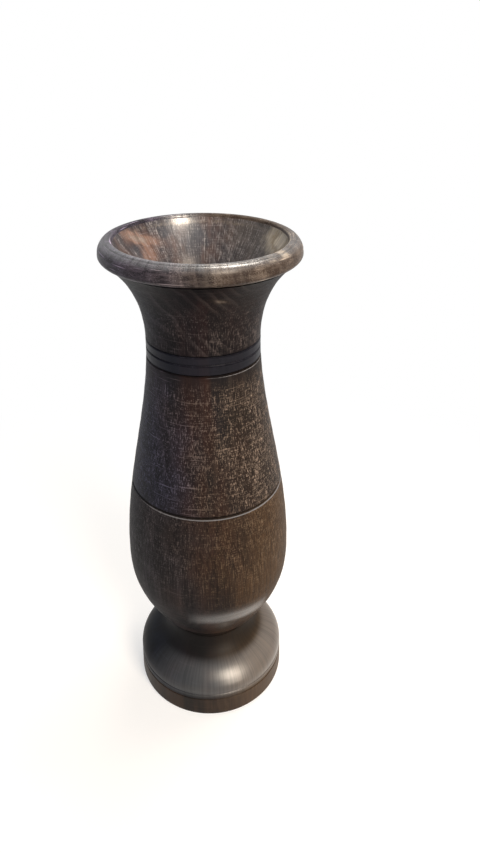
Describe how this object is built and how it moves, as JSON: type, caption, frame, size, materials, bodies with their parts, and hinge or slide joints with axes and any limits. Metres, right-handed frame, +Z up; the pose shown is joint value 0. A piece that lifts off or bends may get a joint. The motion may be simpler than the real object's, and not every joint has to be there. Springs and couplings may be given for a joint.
{
  "type": "wooden vase",
  "caption": "Turned wooden vase with a rolled lip, trumpet mouth, black neck bands, tapered hollow body, narrow waist and domed foot, made from sections glued on spigots.",
  "frame": {"origin": "middle of the base, on the surface that the vase stands on", "axes": "+Z up along the turning axis, out of the mouth"},
  "size_m": [0.0998, 0.0998, 0.305],
  "materials": {
    "dark_wood": "dark stain under satin lacquer, pale limed specks in the pores",
    "worn_wood": "dark stain worn to brown, satin lacquer",
    "black_band": "ebonised, smooth satin",
    "polished_wood": "dark stain, polished lacquer",
    "bare_beech": "bare, sanded"
  },
  "bodies": {
    "root": {"base_plinth": "polished_wood", "foot": "polished_wood", "waist_dowel": "bare_beech", "lower_body": "dark_wood", "upper_body": "dark_wood", "neck_collar": "black_band", "neck_flare": "dark_wood", "lip_ring": "worn_wood"}
  },
  "joints": []
}
